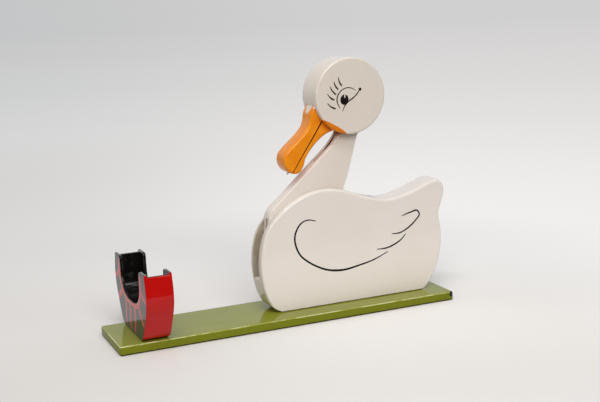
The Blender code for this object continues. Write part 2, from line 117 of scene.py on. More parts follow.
def smooth_path(points, pieces, closed=False, corner=24.0, straight=12.0):
    """Rounds a faceted path off, and keeps its corners and its long straight runs."""
    count = len(points)
    spots = [Vector(p) for p in points]

    def sides(i):
        return spots[i] - spots[i - 1], spots[(i + 1) % count] - spots[i]

    def is_corner(i):
        if not closed and i in (0, count - 1):
            return True
        before, after = sides(i)
        if max(before.length, after.length) > straight:
            return True
        return math.degrees(abs(before.angle_signed(after))) > corner

    corners = [is_corner(i) for i in range(count)]

    def tangent(i, ahead):
        """Slope at a point per millimetre, from one side only at a corner."""
        before, after = sides(i)
        if corners[i]:
            return (after if ahead else before).normalized()
        a, b = before.length, after.length
        return (before / a * b + after / b * a) / (a + b)

    path = []
    for i in range(count if closed else count - 1):
        j = (i + 1) % count
        p, q = spots[i], spots[j]
        length = (q - p).length
        if length > straight or (corners[i] and corners[j]):
            path.append(tuple(p))
            continue
        m, n = tangent(i, True) * length, tangent(j, False) * length
        for k in range(pieces):
            t = k / pieces
            path.append(tuple((2 * t ** 3 - 3 * t ** 2 + 1) * p + (t ** 3 - 2 * t ** 2 + t) * m
                              + (3 * t ** 2 - 2 * t ** 3) * q + (t ** 3 - t ** 2) * n))
    if not closed:
        path.append(tuple(spots[-1]))
    return path


def smooth_outline(node, axis):
    return smooth_path(flat_outline(node, axis), SPAN_PIECES, closed=True)


def nearest_span(outline, point):
    """Distance from a point to a closed outline, and the index of the span it falls on."""
    best = (math.inf, 0)
    p = Vector(point)
    for i, (a, b) in enumerate(spans(outline)):
        a, b = Vector(a), Vector(b)
        t = max(0.0, min(1.0, (p - a).dot(b - a) / (b - a).length_squared))
        best = min(best, ((p - a.lerp(b, t)).length, i))
    return best


def slot_path(loop, outline, near):
    """Path of the slot nearest to a point, where a middle layer stops short of the outline.

    Both ends lie on the outline; its anticlockwise part between them is the slot's mouth.
    """
    apart = [nearest_span(outline, p)[0] > SAME_PLACE for p in loop]
    start = apart.index(False)
    runs, run = [], []
    for step in range(len(loop) + 1):
        i = (start + step) % len(loop)
        if apart[i]:
            run = run or [loop[i - 1]]
            run.append(loop[i])
        elif run:
            runs.append(run + [loop[i]])
            run = []
    chosen = min(runs, key=lambda r: min(math.dist(p, near) for p in r))
    return smooth_path(chosen, SPAN_PIECES)


def with_point(outline, point, reach=0.45):
    """The outline with a vertex at a point that lies on it; a near vertex is moved there."""
    near = min(range(len(outline)), key=lambda i: math.dist(outline[i], point))
    changed = list(outline)
    if math.dist(outline[near], point) < reach:
        changed[near] = tuple(point)
    else:
        changed.insert(nearest_span(outline, point)[1] + 1, tuple(point))
    return changed


def soften(outline, chosen, rounds, step=1.0):
    """Relaxes the chosen part of a closed outline into one smooth curve."""
    path = []
    for a, b in spans(outline):
        count = max(1, round(math.dist(a, b) / step)) if chosen(a) and chosen(b) else 1
        path += [Vector(a).lerp(Vector(b), k / count) for k in range(count)]
    for _ in range(rounds):
        ahead = path[1:] + path[:1]
        behind = path[-1:] + path[:-1]
        path = [p / 2 + (a + b) / 4 if chosen(p) else p for p, a, b in zip(path, ahead, behind)]
    return [tuple(p) for p in path]


def inward(outline):
    """Direction to the inside at each vertex of an anticlockwise outline, mitred."""
    spots = [Vector(p) for p in outline]
    directions = []
    for a, b, c in zip(spots[-1:] + spots[:-1], spots, spots[1:] + spots[:1]):
        before, after = (b - a).normalized(), (c - b).normalized()
        one, two = Vector((-before.y, before.x)), Vector((-after.y, after.x))
        both = (one + two).normalized()
        directions.append(both / max(0.5, both.dot(one)))
    return directions


def even_path(path, spacing):
    """The same path with its points evenly spaced, at most the spacing apart."""
    total = sum(math.dist(a, b) for a, b in zip(path, path[1:]))
    count = max(4, math.ceil(total / spacing))
    even, walked, i = [tuple(path[0])], 0.0, 0
    for k in range(1, count):
        goal = total * k / count
        while walked + math.dist(path[i], path[i + 1]) < goal:
            walked += math.dist(path[i], path[i + 1])
            i += 1
        share = (goal - walked) / math.dist(path[i], path[i + 1])
        even.append(tuple(Vector(path[i]).lerp(Vector(path[i + 1]), share)))
    return even + [tuple(path[-1])]


# ---------------------------------------------------------------- measures, in millimetres

DECK = limit("base_board", HIGH, Z)
BODY_HALF = -limit("body_near_plate", LOW, Y)
PLATE_INSIDE = -limit("body_near_plate", HIGH, Y)
NECK_HALF = -limit("neck_near_half", LOW, Y)
HEAD_HALF = -limit("head_near_cheek", LOW, Y)
HEAD_RADIUS = (limit("head_near_cheek", HIGH, X) - limit("head_near_cheek", LOW, X)) / 2
CHEEK_INSIDE = -limit("head_near_cheek", HIGH, Y)
BEAK_HALF = -limit("beak", LOW, Y)
HOLDER_LOW = limit("holder_front_side", LOW, X)
HOLDER_HIGH = limit("holder_rear_side", HIGH, X)
HOLDER_SIDE = limit("holder_front_side", HIGH, X) - HOLDER_LOW
HEAD_CENTRE = side_middle("head_near_cheek")
HEAD_PIVOT = side_middle("head_pivot_pin")
NECK_PIVOT = side_middle("neck_pivot_pin")
KNOCKED_CORNER = (middle("base_board").x + 152.0, middle("base_board").y - 31.5, 6.0)


# ---------------------------------------------------------------- pieces

ROUNDING_STEPS = 6
FLAT_MARGIN = 0.3  # width of the strip between a flat face and its rounding
PAINT_SUNK = 0.05  # how far a painted stroke reaches into the face under it
DAB_TURNS = 28


def place(point, along, axis):
    """Where a flat point at a level along an axis lies, in metres."""
    spot = [0.0, 0.0, 0.0]
    spot[axis] = along
    flat = [i for i in range(3) if i != axis]
    spot[flat[0]], spot[flat[1]] = point
    return Vector(spot) * MM


def bridge(build, one, two, closed=True):
    """Faces between two rows of vertices."""
    count = len(one)
    for i in range(count if closed else count - 1):
        j = (i + 1) % count
        build.faces.new((one[i], one[j], two[j], two[i]))


def capped(build, rings):
    """Faces along a row of rings, closed at both ends."""
    for one, two in zip(rings, rings[1:]):
        bridge(build, one, two)
    build.faces.new(rings[0])
    build.faces.new(rings[-1])


def turn_out(build):
    bmesh.ops.recalc_face_normals(build, faces=build.faces)


def mesh_of(build, name):
    mesh = bpy.data.meshes.new(name)
    build.to_mesh(mesh)
    build.free()
    return mesh


def in_scene(name, data):
    thing = bpy.data.objects.new(name, data)
    bpy.context.scene.collection.objects.link(thing)
    return thing


def shade(mesh, sharp=32.0):
    """Smooth faces, with hard edges where they meet at more than an angle in degrees."""
    mesh.shade_smooth()
    mesh.set_sharp_from_angle(angle=math.radians(sharp))


def finish_piece(name, mesh, body, material, stands_for=(), sharp=32.0):
    """Object of a mesh that rides on a body."""
    piece = in_scene(name, mesh)
    shade(mesh, sharp)
    mesh.materials.append(material)
    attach(piece, body)
    if stands_for:
        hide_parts(*stands_for)
    return piece


def slab(name, outline, low, high, axis, rounding, slot=None, walls=(0, 0), softness=0.0,
         weight=None):
    """Rounded slab between two levels, with an optional slot cut through its middle layer.

    The slot is a path whose two ends lie on the outline; it goes where the middle layer stops,
    between the two wall levels. Softness rounds the edges at the slot's mouth. The weight is
    the share of the rounding at a point of the outline.
    """
    if slot:
        outline = with_point(with_point(outline, slot[0]), slot[-1])
    insets = inward(outline)
    weights = [weight(p) if weight else 1.0 for p in outline]
    count = len(outline)
    build = bmesh.new()

    def ring(level, inset, depth=0.0):
        verts = []
        for p, d, w in zip(outline, insets, weights):
            moved = (p[0] + d.x * inset * w, p[1] + d.y * inset * w)
            verts.append(build.verts.new(place(moved, level + depth * w, axis)))
        return verts

    def rounded_end(level, towards):
        """Rings from the wall to the flat face, and the face."""
        rings = []
        for i in range(ROUNDING_STEPS + 1):
            angle = math.pi / 2 * i / ROUNDING_STEPS
            rings.append(ring(level, rounding * (1 - math.cos(angle)),
                              towards * rounding * (1 - math.sin(angle))))
        rings.append(ring(level, rounding + FLAT_MARGIN))
        for one, two in zip(rings, rings[1:]):
            bridge(build, one, two)
        build.faces.new(rings[-1])
        return rings[0]

    near_ring = rounded_end(low, 1)
    far_ring = rounded_end(high, -1)
    if not slot:
        bridge(build, near_ring, far_ring)
    else:
        a = min(range(count), key=lambda i: math.dist(outline[i], slot[0]))
        b = min(range(count), key=lambda i: math.dist(outline[i], slot[-1]))
        open_run = [(a + i) % count for i in range((b - a) % count + 1)]
        closed_run = [(b + i) % count for i in range((a - b) % count + 1)]
        inner = []
        for end_ring, level in ((near_ring, walls[0]), (far_ring, walls[1])):
            wall_ring = ring(level, 0)
            bridge(build, end_ring, wall_ring)
            path = [build.verts.new(place(p, level, axis)) for p in slot[1:-1]]
            path = [wall_ring[a]] + path + [wall_ring[b]]
            mouth = [wall_ring[i] for i in open_run]
            build.faces.new(mouth + path[-2:0:-1])
            inner.append((wall_ring, path))
        (ring_one, path_one), (ring_two, path_two) = inner
        bridge(build, [ring_one[i] for i in closed_run], [ring_two[i] for i in closed_run],
               closed=False)
        bridge(build, path_one, path_two, closed=False)
        lips = [build.edges.get((ring_one[i], ring_two[i])) for i in (a, b)]
        for wall_ring, _ in inner:
            for i, j in zip(open_run, open_run[1:]):
                lips.append(build.edges.get((wall_ring[i], wall_ring[j])))
        turn_out(build)
        bmesh.ops.bevel(build, geom=lips, offset=softness * MM, segments=3, profile=0.5,
                        affect="EDGES", clamp_overlap=True)
    turn_out(build)
    return mesh_of(build, name)


def ribbon(build, points, widths, level, side, crown=0.11, axis=Y):
    """Stroke of thick paint on a flat face: a low crowned strip with tapered ends."""
    path = even_path(smooth_path(points, 6, corner=180.0, straight=math.inf), 0.5)
    lengths = [0.0]
    for a, b in zip(path, path[1:]):
        lengths.append(lengths[-1] + math.dist(a, b))
    profile = ((-1, -PAINT_SUNK), (-0.75, crown * 0.7), (0, crown), (0.75, crown * 0.7),
               (1, -PAINT_SUNK))
    rows = []
    for i, (point, length) in enumerate(zip(path, lengths)):
        before, after = Vector(path[max(i - 1, 0)]), Vector(path[min(i + 1, len(path) - 1)])
        along = (after - before).normalized()
        across = Vector((-along.y, along.x))
        share = length / lengths[-1] * (len(widths) - 1)
        k = min(int(share), len(widths) - 2)
        width = widths[k] + (widths[k + 1] - widths[k]) * (share - k)
        end = min(length, lengths[-1] - length) / max(width, 0.01) * 2
        half = width / 2 * math.sqrt(max(0.04, 1 - max(0.0, 1 - end) ** 2))
        row = []
        for offset, height in profile:
            spot = Vector(point) + across * half * offset
            row.append(build.verts.new(place(tuple(spot), level + side * height, axis)))
        rows.append(row)
    capped(build, rows)


def dab(build, centre, radius, level, side, crown=0.12, stretch=1.0, lean=0.0):
    """Round spot of paint on a face across Y."""
    tilt = math.radians(lean)
    rings = []
    for share, height in ((1.0, -PAINT_SUNK), (0.97, crown * 0.6), (0.85, crown * 0.85),
                          (0.4, crown)):
        verts = []
        for i in range(DAB_TURNS):
            angle = 2 * math.pi * i / DAB_TURNS
            x, z = radius * share * math.cos(angle), radius * share * stretch * math.sin(angle)
            spot = (centre[0] + x * math.cos(tilt) - z * math.sin(tilt),
                    centre[1] + x * math.sin(tilt) + z * math.cos(tilt))
            verts.append(build.verts.new(place(spot, level + side * height, Y)))
        rings.append(verts)
    capped(build, rings)


def paint_piece(name, draw, body, material):
    """Paint marks that a function draws on either side, in one mesh."""
    build = bmesh.new()
    for side in (-1, 1):
        draw(build, side)
    turn_out(build)
    return finish_piece(name, mesh_of(build, name), body, material, sharp=50.0)


# ---------------------------------------------------------------- materials

COAT_IOR = 1.36


class Nodes:
    """A node tree, with short ways to add nodes."""

    def __init__(self, tree, where):
        self.tree = tree
        self.where = tree.nodes.new("ShaderNodeTexCoord").outputs[where]

    def put(self, value, socket):
        if isinstance(value, bpy.types.NodeSocket):
            self.tree.links.new(value, socket)
        else:
            socket.default_value = value

    def node(self, kind, output, inputs=None, **settings):
        node = self.tree.nodes.new(kind)
        for key, value in settings.items():
            setattr(node, key, value)
        for key, value in (inputs or {}).items():
            self.put(value, node.inputs[key])
        return node.outputs[output]

    def maths(self, operation, a, b=0.0):
        return self.node("ShaderNodeMath", 0, {0: a, 1: b}, operation=operation)

    def plus(self, a, b):
        return self.maths("ADD", a, b)

    def minus(self, a, b):
        return self.maths("SUBTRACT", a, b)

    def times(self, a, b):
        return self.maths("MULTIPLY", a, b)

    def size(self, a):
        return self.maths("ABSOLUTE", a)

    def length(self, a, b):
        return self.maths("SQRT", self.plus(self.times(a, a), self.times(b, b)))

    def noise(self, scale, detail=3.0, roughness=0.5, stretch=(1, 1, 1), distortion=0.0):
        spot = self.node("ShaderNodeMapping", 0, {"Vector": self.where, "Scale": stretch})
        return self.node("ShaderNodeTexNoise", "Fac",
                         {"Vector": spot, "Scale": scale, "Detail": detail,
                          "Roughness": roughness, "Distortion": distortion})

    def span(self, value, low, high, new_low=0.0, new_high=1.0, kind="SMOOTHSTEP"):
        return self.node("ShaderNodeMapRange", 0,
                         {"Value": value, "From Min": low, "From Max": high,
                          "To Min": new_low, "To Max": new_high}, interpolation_type=kind)

    def fade(self, value, low, high):
        """1 up to the low value, and down to 0 at the high one."""
        return self.span(value, low, high, 1.0, 0.0)

    def uneven(self, low, high, scale=60.0, detail=3.0):
        """A number that drifts between two others over the surface."""
        return self.span(self.noise(scale, detail), 0.3, 0.7, low, high)

    def blend(self, share, one, two, kind="MIX"):
        node = self.tree.nodes.new("ShaderNodeMix")
        node.data_type, node.blend_type = "RGBA", kind
        colours = [s for s in node.inputs if s.type == "RGBA"]
        for value, socket in zip((share, one, two), [node.inputs["Factor"]] + colours):
            self.put(value, socket)
        return next(s for s in node.outputs if s.type == "RGBA")

    def mottle(self, field, low, high, one, two):
        """One colour where a field is low, another where it is high."""
        return self.blend(self.span(field, low, high), one, two)

    def axes(self, source=None):
        node = self.tree.nodes.new("ShaderNodeSeparateXYZ")
        self.put(source or self.where, node.inputs[0])
        return node.outputs

    def facing(self, kind):
        """The three parts of a normal."""
        return self.axes(self.node("ShaderNodeNewGeometry", kind))

    def around(self, centre):
        """Way from an axis across Y: along X, along Z and in all."""
        axes = self.axes()
        x, z = self.minus(axes[0], centre[0] * MM), self.minus(axes[2], centre[1] * MM)
        return x, z, self.length(x, z)

    def bump(self, height, strength, distance):
        return self.node("ShaderNodeBump", 0, {"Height": height, "Strength": strength,
                                               "Distance": distance})


class Paint(Nodes):
    """A material's nodes, in the coordinates of the part."""

    def __init__(self, name):
        self.material = bpy.data.materials.new(name)
        self.material.use_nodes = True
        super().__init__(self.material.node_tree, "Object")
        self.shader = self.tree.nodes["Principled BSDF"]

    def set(self, **values):
        names = {"base": "Base Color", "roughness": "Roughness", "metallic": "Metallic",
                 "coat": "Coat Weight", "coat_roughness": "Coat Roughness", "normal": "Normal",
                 "coat_normal": "Coat Normal", "coat_ior": "Coat IOR",
                 "specular": "Specular IOR Level"}
        for key, value in values.items():
            self.put(value, self.shader.inputs[names[key]])
        return self.material


def colour(red, green, blue):
    """Colour from 0-255 screen values."""
    def linear(c):
        c /= 255
        return c / 12.92 if c <= 0.04045 else ((c + 0.055) / 1.055) ** 2.4
    return (linear(red), linear(green), linear(blue), 1.0)


def darker(tint, share):
    return tuple(c * share for c in tint[:3]) + (1.0,)


def gloss(rough, coat_roughness, normal=None, coat=1.0):
    """Settings of gloss paint, whose gloss is all in its clear top."""
    values = {"roughness": rough, "specular": 0.0, "coat": coat, "coat_ior": COAT_IOR,
              "coat_roughness": coat_roughness}
    if normal:
        values.update(normal=normal, coat_normal=normal)
    return values


def enamel_film(paint, wave=0.5, brush=0.25):
    """Height of brushed paint: slow waves and fine brush marks."""
    waves = paint.noise(55.0, 2.0)
    marks = paint.noise(260.0, 3.0, stretch=(0.25, 1.0, 1.0))
    return paint.plus(paint.times(waves, wave), paint.times(marks, brush))


def wood_grain(paint):
    """Fine lines along the board direction, as filler leaves them under paint."""
    return paint.noise(420.0, 4.0, 0.6, stretch=(0.035, 1.0, 1.0), distortion=0.3)


def white_enamel(name, tint, age, grain_strength=0.35):
    """Aged white gloss paint over wood: the paint, its colour and its other settings."""
    paint = Paint(name)
    grain = wood_grain(paint)
    base = paint.mottle(paint.noise(14.0, 4.0, 0.55), 0.3, 0.72, tint, age)
    base = paint.blend(paint.times(paint.span(grain, 0.52, 0.72), grain_strength), base,
                       darker(tint, 0.93))
    specks = paint.span(paint.noise(900.0, 2.0, 0.6), 0.7, 0.78)
    base = paint.blend(paint.times(specks, 0.35), base, darker(tint, 0.7))
    film = paint.plus(enamel_film(paint), paint.times(grain, 0.35))
    return paint, base, gloss(paint.uneven(0.24, 0.36, 40.0), 0.05,
                              paint.bump(film, 0.12, 0.0006))


def body_material():
    """White paint, darkened by painted shade in the neck's slot, on the breast and at the foot.
    """
    paint, base, rest = white_enamel("body_white", colour(229, 221, 214),
                                     colour(226, 217, 207))
    axes = paint.axes()
    normal = paint.facing("True Normal")
    middle_layer = paint.fade(paint.size(axes[1]), (PLATE_INSIDE + 0.1) * MM,
                              (PLATE_INSIDE + 0.3) * MM)
    wall = paint.span(paint.size(normal[1]), 0.9, 0.95)
    bottom = paint.fade(paint.around(NECK_PIVOT)[2], 0.035, 0.037)
    inside = paint.times(middle_layer, paint.maths("MAXIMUM", wall, bottom))
    # Darker paint in the slot for the neck: painted shade.
    slot_shade = paint.mottle(paint.noise(60.0, 4.0), 0.3, 0.7, colour(176, 164, 148),
                         colour(150, 136, 118))
    base = paint.blend(inside, base, slot_shade)
    # Left-facing faces, the breast among them, painted darker: painted shade.
    left_facing_shade = paint.span(normal[0], -0.9, -0.3, 0.7, 0.0)
    base = paint.blend(left_facing_shade, base, colour(200, 189, 175))
    # A dark brown band along the foot on the board: painted contact shadow.
    rise = paint.plus(axes[2], paint.times(paint.noise(200.0, 3.0), 0.0006))
    foot_shadow = paint.span(rise, (DECK + 1.0) * MM, (DECK + 1.4) * MM, 0.85, 0.0)
    base = paint.blend(foot_shadow, base, colour(112, 92, 58))
    return paint.set(base=base, **rest)


def near_head_bare_and_shaded(paint, near=0.046, far=0.052):
    """1 near the head: where its rim keeps the brush off, and a band of painted shade under the
    rim.
    """
    return paint.fade(paint.around(HEAD_CENTRE)[2], near, far)


def neck_material():
    """White paint, bare dark wood in the saw kerf, and painted shade under the head's rim."""
    paint, base, rest = white_enamel("neck_white", colour(228, 218, 209), colour(221, 209, 197))
    wall = paint.span(paint.size(paint.facing("True Normal")[1]), 0.85, 0.92)
    inside = paint.fade(paint.size(paint.axes()[1]), 0.0019, 0.0021)
    # Bare wood in the saw kerf, darker brown than the wood alone: partly painted shade.
    wood = paint.blend(wood_grain(paint), colour(96, 66, 42), colour(62, 40, 26))
    wood = paint.blend(near_head_bare_and_shaded(paint), colour(196, 182, 166), wood)
    base = paint.blend(paint.times(wall, inside), base, wood)
    # A thin band of the dark wood colour where the neck meets the head's rim: painted shade.
    base = paint.blend(near_head_bare_and_shaded(paint, 0.0327, 0.0333), base, wood)
    return paint.set(base=base, **rest)


# Upper edge of the orange on the rim: distance from the middle plane, degrees round the head
BEAK_BORDER = ((0, 200.8), (1.8, 200.2), (3.8, 197.0), (5.4, 192.8), (6.5, 189.4),
               (7.5, 192.8), (8.7, 195.6), (14.3, 196))
HEAD_BORDER = BEAK_BORDER[:-1] + ((9.3, 207), (10.5, 212.5), (14.3, 214))
BORDER_REACH = 15.0
BORDER_START, BORDER_ROOM = 180.0, 40.0
PATCH_HEADING = 238.8  # on the cheeks: where the patch lies, how far out it starts
PATCH_EDGE, PATCH_HALF, PATCH_BEND = 28.3, 12.8, 1.5


def border_angle(paint, border, across):
    """Angle of a border at a distance from the middle plane."""
    curve = paint.tree.nodes.new("ShaderNodeFloatCurve")
    line = curve.mapping.curves[0]
    spots = [(y / BORDER_REACH, (angle - BORDER_START) / BORDER_ROOM) for y, angle in border]
    line.points[0].location = spots[0]
    line.points[1].location = (1.0, spots[-1][1])
    for spot in spots[1:]:
        line.points.new(*spot)
    for spot in line.points:
        spot.handle_type = "AUTO_CLAMPED"
    curve.mapping.update()
    paint.put(paint.maths("DIVIDE", across, BORDER_REACH * MM), curve.inputs["Value"])
    return paint.plus(paint.times(curve.outputs[0], BORDER_ROOM), BORDER_START)


def orange_share(paint, border):
    """1 where the paint is orange."""
    x, z, _ = paint.around(HEAD_CENTRE)
    across = paint.size(paint.axes()[1])
    wobble = paint.times(paint.minus(paint.noise(160.0, 2.0), 0.5), 3.0)
    degrees = paint.times(paint.maths("ARCTAN2", z, x), 180 / math.pi)
    degrees = paint.plus(paint.maths("FLOORED_MODULO", degrees, 360.0), wobble)
    above = paint.span(paint.minus(degrees, border_angle(paint, border, across)), -0.5, 0.5)
    rim = paint.times(above, paint.fade(degrees, 261.0, 262.0))
    # On the flat cheeks the patch ends in a shallow curve across the front of the face
    heading = math.radians(PATCH_HEADING)
    out = paint.plus(paint.times(x, math.cos(heading)), paint.times(z, math.sin(heading)))
    along = paint.minus(paint.times(z, math.cos(heading)), paint.times(x, math.sin(heading)))
    bend = paint.maths("POWER", paint.size(paint.maths("DIVIDE", along, PATCH_HALF * MM)), 4.0)
    edge = paint.plus(paint.times(bend, PATCH_BEND * MM), PATCH_EDGE * MM)
    edge = paint.plus(edge, paint.times(wobble, 0.0002))
    cheek = paint.span(paint.minus(out, edge), -0.0002, 0.0002)
    flat = paint.span(across, (HEAD_HALF - 0.9) * MM, (HEAD_HALF - 0.5) * MM)
    return paint.plus(paint.times(cheek, flat), paint.times(rim, paint.minus(1.0, flat)))


def orange_colour(paint):
    """Orange, with painted shade where the bill meets the head."""
    _, z, distance = paint.around(HEAD_CENTRE)
    streaks = paint.noise(120.0, 4.0, 0.6, stretch=(0.5, 1.0, 1.0))
    base = paint.mottle(streaks, 0.3, 0.75, colour(238, 146, 30), colour(230, 130, 18))
    # Darker orange where the bill meets the head: painted shade.
    shade_under_head = paint.times(paint.fade(distance, 0.032, 0.040), paint.fade(z, -0.021, -0.014))
    return paint.blend(paint.times(shade_under_head, 0.4), base, colour(204, 92, 6))


def face_material(name, border):
    """White paint with the orange patch over it."""
    paint, base, rest = white_enamel(name, colour(226, 217, 207), colour(221, 210, 197), 0.15)
    base = paint.blend(orange_share(paint, border), base, orange_colour(paint))
    return paint.set(base=base, **rest)


def green_material():
    """Green gloss paint, painted shade and a broken painted highlight at its edges, a knocked
    corner.
    """
    paint = Paint("board_green")
    base = paint.mottle(paint.noise(9.0, 4.0, 0.6), 0.3, 0.7, colour(138, 141, 42),
                        colour(127, 132, 33))
    marks = paint.span(paint.noise(420.0, 4.0, 0.6, stretch=(0.04, 1.0, 1.0)), 0.5, 0.75)
    base = paint.blend(paint.times(marks, 0.25), base, colour(92, 100, 24))
    up = paint.facing("Normal")[2]
    # The sides painted darker than the top: painted shade.
    edge = paint.fade(up, 0.25, 0.6)
    base = paint.blend(paint.times(edge, 0.8), base, colour(106, 111, 15))
    # A light broken line along the rounded top edges: painted highlight.
    corner = paint.times(paint.span(up, 0.42, 0.55), paint.fade(up, 0.82, 0.92))
    broken_highlight = paint.span(paint.noise(75.0, 3.0, 0.6), 0.42, 0.56, 0.15, 0.75)
    base = paint.blend(paint.times(corner, broken_highlight), base, colour(214, 216, 168))
    # A dark line along the bottom edge: painted contact shadow.
    shadow_wobble = paint.times(paint.noise(150.0, 4.0, 0.7), 0.0009)
    board_foot_shadow = paint.fade(paint.plus(paint.axes()[2], shadow_wobble), 0.0016, 0.0021)
    base = paint.blend(paint.times(board_foot_shadow, paint.span(up, -0.9, -0.6)), base,
                       colour(46, 44, 20))
    knock = paint.node("ShaderNodeVectorMath", "Value",
                       {0: paint.where, 1: Vector(KNOCKED_CORNER) * MM}, operation="DISTANCE")
    ragged = paint.plus(knock, paint.times(paint.noise(420.0, 3.0), 0.004))
    base = paint.blend(paint.fade(ragged, 0.0052, 0.0056), base, colour(48, 42, 26))
    return paint.set(base=base, **gloss(
        paint.uneven(0.22, 0.36), 0.06, paint.bump(enamel_film(paint, 0.6, 0.3), 0.10, 0.0006),
        paint.span(edge, 0.0, 1.0, 1.0, 0.45)))


def red_material():
    """Gloss red on the outside of the holder."""
    paint = Paint("holder_red")
    base = paint.mottle(paint.noise(22.0, 3.0), 0.3, 0.7, colour(188, 17, 12),
                        colour(174, 10, 8))
    normal = paint.bump(enamel_film(paint, 0.6, 0.2), 0.08, 0.0005)
    return paint.set(base=base, **gloss(paint.uneven(0.2, 0.32), 0.05, normal))


def black_material():
    """Gloss black on the holder's faces and inside, grey on its rims as wear and painted
    highlight.
    """
    paint = Paint("holder_black")
    base = paint.mottle(paint.noise(90.0, 3.0), 0.3, 0.7, colour(14, 13, 12),
                        colour(22, 20, 18))
    rim = paint.span(paint.node("ShaderNodeNewGeometry", "Pointiness"), 0.53, 0.58)
    # Grey on the rims: partly wear, partly a painted highlight.
    wear_and_sheen = paint.times(paint.span(paint.noise(240.0, 4.0, 0.6), 0.46, 0.58), rim)
    base = paint.blend(wear_and_sheen, base, colour(128, 116, 108))
    normal = paint.bump(enamel_film(paint, 0.4, 0.1), 0.04, 0.0005)
    return paint.set(base=base, **gloss(paint.uneven(0.25, 0.4), 0.1, normal))


def line_material(name, one, two):
    """Thick paint of the drawn lines."""
    paint = Paint(name)
    base = paint.mottle(paint.noise(300.0, 3.0), 0.35, 0.7, one, two)
    return paint.set(base=base, **gloss(paint.uneven(0.25, 0.4, 80.0, 2.0), 0.1))


def metal(name, bright, dull):
    """Stained metal: its nodes, its colour and its other settings."""
    paint = Paint(name)
    stain = paint.noise(260.0, 4.0, 0.6)
    return paint, paint.mottle(stain, 0.35, 0.7, bright, dull), {
        "roughness": paint.span(stain, 0.3, 0.7, 0.28, 0.5),
        "normal": paint.bump(paint.noise(900.0, 3.0), 0.1, 0.0002)}


def brass_material():
    paint, base, rest = metal("brass", colour(206, 182, 120), colour(160, 134, 84))
    return paint.set(base=base, metallic=1.0, **rest)


def steel_material():
    """Steel, painted over on the rod in the neck, from below the head down."""
    paint, base, rest = metal("steel", colour(150, 146, 140), colour(96, 88, 78))
    axes = paint.axes()
    in_neck = paint.times(paint.span(axes[0], 0.0, 0.001), paint.span(axes[2], 0.09, 0.092))
    painted = paint.times(in_neck, paint.minus(1.0, near_head_bare_and_shaded(paint)))
    base = paint.blend(painted, base, colour(204, 192, 176))
    return paint.set(base=base, metallic=paint.minus(1.0, painted), **rest)


# ---------------------------------------------------------------- the duck

BODY_ROUNDING, HEAD_ROUNDING, BEAK_ROUNDING, NECK_ROUNDING = 2.4, 1.6, 2.0, 1.6
MOUTH_SOFTNESS = 0.5  # rounding of the edges round a slot's mouth
LET_IN = 4.5  # how far the beak's root lies inside the head's rim
NECK_FOOT_REACH, HEAD_BORE_REACH = 16.0, 4.0  # edges this near a pivot stay sharp
SEAM = 0.0002  # metres from the middle plane within which the neck's halves meet


def rising(value, low, room):
    """0 up to the low value, and up to 1 over the room above it."""
    return max(0.0, min(1.0, (value - low) / room))


def make_body():
    outline = smooth_outline("body_near_plate", Y)
    path = slot_path(flat_outline("body_core", Y), outline, NECK_PIVOT)
    mesh = slab("body", outline, -BODY_HALF, BODY_HALF, Y, BODY_ROUNDING, path,
                (-PLATE_INSIDE, PLATE_INSIDE), MOUTH_SOFTNESS,
                lambda p: 0.12 + 0.88 * rising(p[1], DECK + 1, 8))
    finish_piece("body", mesh, "stand", body_material(),
                 ("body_core", "body_near_plate", "body_far_plate"))


def make_head():
    outline = smooth_outline("head_near_cheek", Y)
    path = slot_path(flat_outline("head_core", Y), outline, HEAD_PIVOT)
    mesh = slab("head", outline, -HEAD_HALF, HEAD_HALF, Y, HEAD_ROUNDING, path,
                (-CHEEK_INSIDE, CHEEK_INSIDE), MOUTH_SOFTNESS)
    finish_piece("head", mesh, "head", face_material("head_paint", HEAD_BORDER),
                 ("head_core", "head_near_cheek", "head_far_cheek"))


def make_beak():
    """Beak whose root runs on into the head and whose upper edge leaves the rim slowly."""
    root = HEAD_RADIUS - LET_IN
    centre = Vector(HEAD_CENTRE)
    outline = []
    for p in smooth_outline("beak", Y):
        away = Vector(p) - centre
        heading = math.degrees(math.atan2(away.y, away.x)) % 360
        proud = (away.length - HEAD_RADIUS) * rising(heading, 191.5, 8) ** 0.7
        inside = away.length < HEAD_RADIUS + 0.45 or proud <= 0
        outline.append(tuple(centre + away.normalized()
                             * (root if inside else HEAD_RADIUS + proud)))
    mesh = slab("bill", outline, -BEAK_HALF, BEAK_HALF, Y, BEAK_ROUNDING)
    finish_piece("bill", mesh, "head", face_material("beak_paint", BEAK_BORDER),
                 ("beak",))


